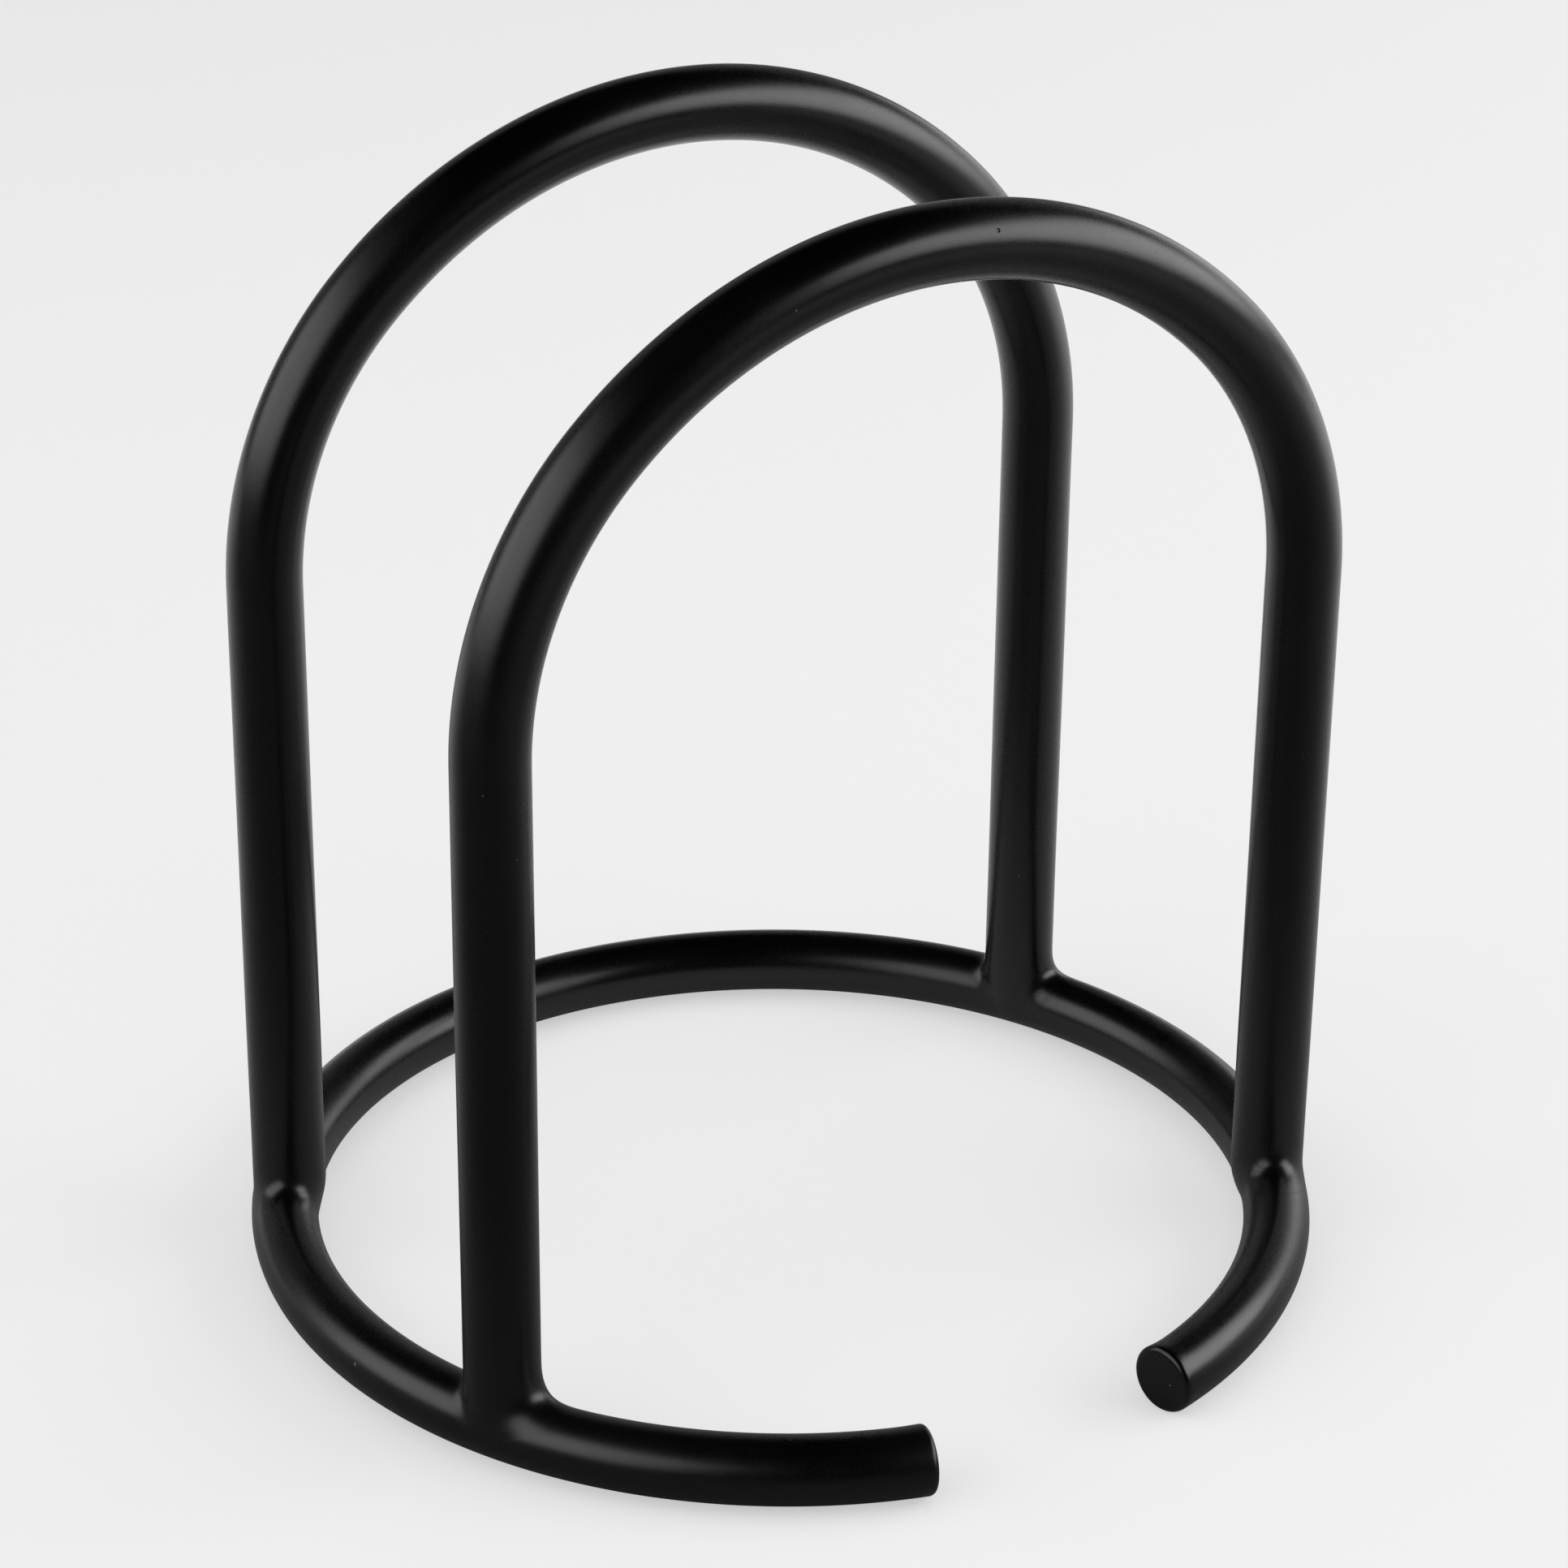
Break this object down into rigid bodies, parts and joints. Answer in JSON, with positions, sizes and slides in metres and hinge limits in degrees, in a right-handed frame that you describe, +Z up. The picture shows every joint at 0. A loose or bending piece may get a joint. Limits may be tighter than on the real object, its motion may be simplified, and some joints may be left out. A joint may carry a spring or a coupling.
{
  "type": "mug stand",
  "caption": "Open base hoop of bent steel bar with parallel upright arches welded on top, for standing a mug, cup or folded napkins in or between.",
  "frame": {"origin": "centre of the base hoop, on the surface that it rests on", "axes": "+Z up; -Y towards the hoop's gap, the front; +X to the right seen from the front, along the arches' span"},
  "size_m": [0.1172, 0.1151, 0.126],
  "materials": {
    "bar_coat": "fine-textured satin black powder coat over steel bar",
    "weld_coat": "the same powder coat over ground weld beads, a little rougher"
  },
  "bodies": {
    "root": {"base_hoop": "bar_coat", "front_arch": "bar_coat", "rear_arch": "bar_coat", "weld_front_left": "weld_coat", "weld_front_right": "weld_coat", "weld_rear_left": "weld_coat", "weld_rear_right": "weld_coat"}
  },
  "joints": []
}
